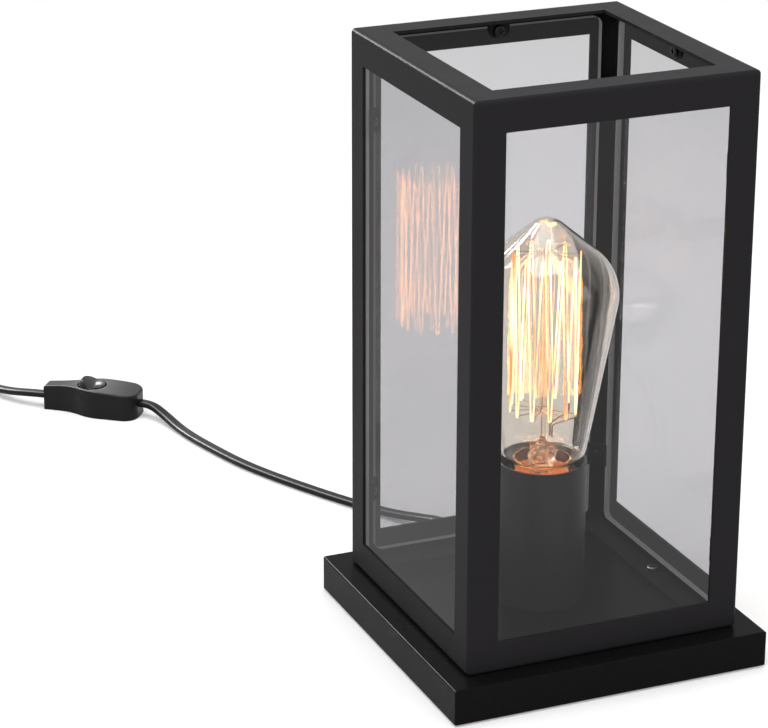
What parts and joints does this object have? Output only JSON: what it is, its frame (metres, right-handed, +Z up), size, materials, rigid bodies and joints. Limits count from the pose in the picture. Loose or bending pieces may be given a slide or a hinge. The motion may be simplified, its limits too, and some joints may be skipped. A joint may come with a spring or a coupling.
{
  "type": "table lamp",
  "caption": "Square lantern table lamp: black steel angle frame with glass panes on a tray base, open top, pear bulb in a tube lampholder, cord with rocker switch, coil and plug",
  "frame": {"origin": "on the table, under the middle of the base", "axes": "+Z up, -Y the front face seen in the picture, +Y the back where the cord leaves"},
  "size_m": [0.3103, 0.6431, 0.27],
  "materials": {
    "frame_paint": "black satin powder coat",
    "base_paint": "black satin powder coat",
    "tube_paint": "black satin paint",
    "clip_paint": "black satin paint",
    "black_screw": "blackened steel",
    "bright_screw": "zinc plated",
    "pane_glass": "clear float glass",
    "bulb_clear": "clear, faintly amber",
    "stem_clear": "clear",
    "brass": "bright",
    "solder": "solder",
    "cap_black": "black vitrite",
    "cement": "baked cement, lit by the filament",
    "tungsten": "hot wire",
    "wire": "drawn wire",
    "holder_black": "moulded, black",
    "cord_black": "black sheath, soft sheen",
    "lead_brown": "brown insulation",
    "lead_blue": "blue insulation",
    "switch_black": "moulded, fine texture",
    "rocker_black": "polished",
    "pin_steel": "nickel plated",
    "plug_black": "moulded",
    "tie_black": "coated wire tie",
    "foot_rubber": "matt"
  },
  "bodies": {
    "lamp": {"base_tray": "base_paint", "bottom_cover": "base_paint", "bottom_rail_back": "frame_paint", "bottom_rail_front": "frame_paint", "bottom_rail_left": "frame_paint", "bottom_rail_right": "frame_paint", "centre_contact": "brass", "clip_screws": "black_screw", "coil_tie": "tie_black", "cord_bush": "cord_black", "cord_coil": "cord_black", "cord_lamp_side": "cord_black", "cord_plug_side": "cord_black", "corner_clips": "clip_paint", "corner_post_back_left": "frame_paint", "corner_post_back_right": "frame_paint", "corner_post_front_left": "frame_paint", "corner_post_front_right": "frame_paint", "cover_screws": "bright_screw", "frame_nuts": "bright_screw", "frame_screws": "bright_screw", "glass_back": "pane_glass", "glass_front": "pane_glass", "glass_left": "pane_glass", "glass_right": "pane_glass", "glass_tongues": "clip_paint", "lampholder_body": "holder_black", "lampholder_shell": "brass", "lampholder_terminals": "brass", "lead_live": "lead_brown", "lead_neutral": "lead_blue", "lock_washer": "bright_screw", "nipple_nut": "bright_screw", "pin_sleeves": "plug_black", "plug_body": "plug_black", "plug_pins": "pin_steel", "rocker_pin": "pin_steel", "rubber_feet": "foot_rubber", "socket_tube": "tube_paint", "switch_base": "switch_black", "switch_contacts": "brass", "switch_cover": "switch_black", "switch_screws": "bright_screw", "threaded_nipple": "brass", "tongue_screws": "black_screw", "top_rail_back": "frame_paint", "top_rail_front": "frame_paint", "top_rail_left": "frame_paint", "top_rail_right": "frame_paint"},
    "bulb": {"bulb_glass": "bulb_clear", "bulb_cap": "brass", "cap_insulator": "cap_black", "cap_cement": "cement", "cap_contact": "solder", "bulb_stem": "stem_clear", "filament": "tungsten", "filament_supports": "wire", "bulb_lead_wires": "wire"},
    "rocker": {"switch_rocker": "rocker_black"}
  },
  "joints": [
    {"name": "bulb_lift", "type": "slide", "parent": "lamp", "child": "bulb", "axis": [0, 0, 1], "range_m": [0, 0.22]},
    {"name": "rocker_tilt", "type": "hinge", "parent": "lamp", "child": "rocker", "pos_m": [-0.10516, 0.33245, 0.013], "axis": [-0.6018, -0.7986, 0], "range_deg": [0, 30]}
  ]
}
